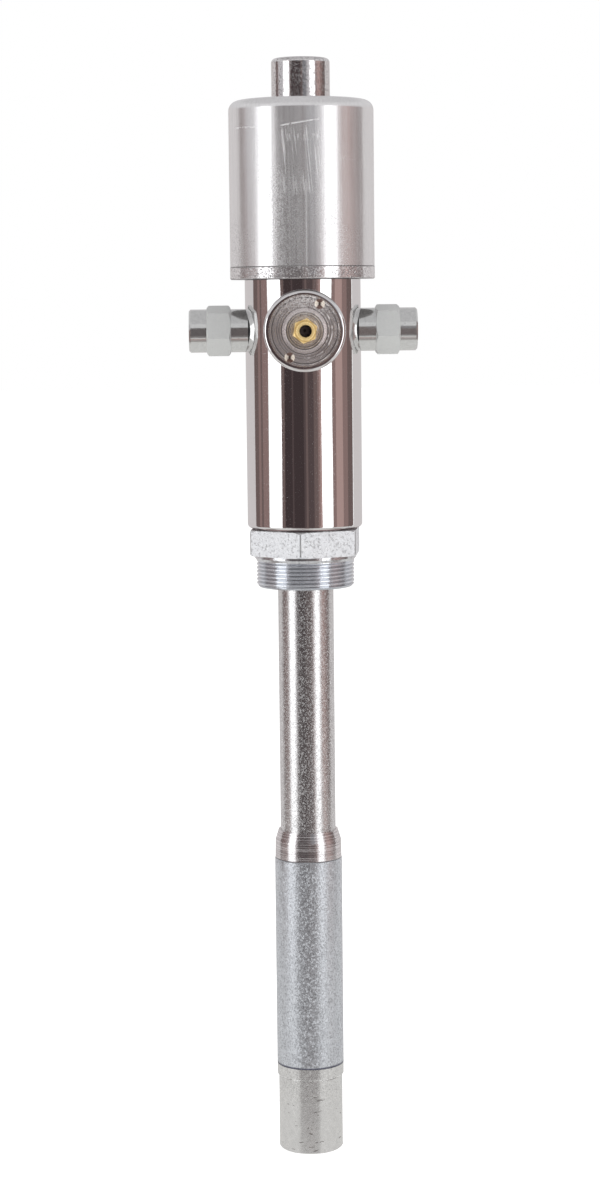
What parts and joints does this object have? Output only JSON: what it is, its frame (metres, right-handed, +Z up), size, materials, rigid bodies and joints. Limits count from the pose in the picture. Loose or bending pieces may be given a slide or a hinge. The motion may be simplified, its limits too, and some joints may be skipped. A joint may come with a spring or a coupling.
{
  "type": "pneumatic oil pump",
  "caption": "Air-driven drum pump for oil: air motor on a chromed body with side outlets, bung thread, and a long riser tube down to a pump barrel with a foot valve.",
  "frame": {"origin": "centre of the bung shoulder: on the pump's axis, in the plane of the big hexagon's underside, where the bung thread starts", "axes": "+Z up along the pump's axis to the air motor, -Y out through the air inlet, +X towards the right-hand oil outlet"},
  "size_m": [0.138, 0.1077, 0.6709],
  "materials": {
    "polished_chrome": "mirror polished chrome plate",
    "satin_aluminium": "brushed aluminium with fine upright scratches",
    "cast_aluminium": "machined cast aluminium",
    "zinc_plate": "bright mottled zinc plate on steel",
    "satin_zinc": "satin zinc plate on turned steel",
    "nickel_plate": "nickel plate with a fine mottle",
    "blue_zinc": "blue passivated zinc plate, speckled",
    "turned_nickel": "plated over turning marks",
    "machined_steel": "turned steel",
    "brass": "bare turned brass",
    "sintered_bronze": "porous sintered bronze",
    "seal_rubber": "matt nitrile rubber",
    "slide_polymer": "low-friction polymer"
  },
  "bodies": {
    "root": {"motor_cylinder": "satin_aluminium", "top_cap": "polished_chrome", "top_cap_seal": "seal_rubber", "cylinder_base": "zinc_plate", "cylinder_seal": "seal_rubber", "base_seal": "seal_rubber", "rod_bush": "sintered_bronze", "rod_air_seal": "seal_rubber", "air_tube": "machined_steel", "packing_gland": "machined_steel", "upper_packing_ring": "seal_rubber", "lower_packing_ring": "seal_rubber", "pump_body": "polished_chrome", "chest_cover": "turned_nickel", "chest_seal": "seal_rubber", "air_inlet_nipple": "brass", "inlet_screen": "machined_steel", "valve_plate": "machined_steel", "valve_block": "cast_aluminium", "exhaust_silencer": "sintered_bronze", "right_outlet_adapter": "satin_zinc", "right_outlet_seal": "seal_rubber", "left_outlet_adapter": "satin_zinc", "left_outlet_seal": "seal_rubber", "bung_adapter": "zinc_plate", "body_seal": "seal_rubber", "riser_tube": "nickel_plate", "tube_coupling": "nickel_plate", "coupling_seal": "seal_rubber", "pump_barrel": "blue_zinc", "foot_valve_body": "nickel_plate", "ball_stop_pin": "machined_steel", "foot_valve_seat": "machined_steel", "seat_seal": "seal_rubber", "suction_strainer": "machined_steel", "seat_retainer": "machined_steel"},
    "piston_assembly": {"air_piston": "cast_aluminium", "air_piston_seal": "seal_rubber", "piston_washer": "machined_steel", "piston_nut": "machined_steel", "piston_rod": "polished_chrome", "rod_lock_nut": "machined_steel", "connecting_rod": "machined_steel", "pump_piston": "machined_steel", "lower_plunger_seal": "seal_rubber", "upper_plunger_seal": "seal_rubber", "piston_stop_pin": "machined_steel", "piston_cage": "machined_steel"},
    "air_valve": {"valve_spool": "machined_steel", "valve_shoe": "slide_polymer"},
    "foot_check_ball": {"foot_ball": "machined_steel"},
    "piston_check_ball": {"piston_ball": "machined_steel"}
  },
  "joints": [
    {"name": "piston_stroke", "type": "slide", "parent": "root", "child": "piston_assembly", "axis": [0, 0, 1], "range_m": [0, 0.072]},
    {"name": "air_valve_shift", "type": "slide", "parent": "root", "child": "air_valve", "axis": [0, 0, 1], "range_m": [0, 0.006]},
    {"name": "foot_ball_lift", "type": "slide", "parent": "root", "child": "foot_check_ball", "axis": [0, 0, 1], "range_m": [0, 0.005]},
    {"name": "piston_ball_lift", "type": "slide", "parent": "piston_assembly", "child": "piston_check_ball", "axis": [0, 0, 1], "range_m": [0, 0.0035]}
  ]
}
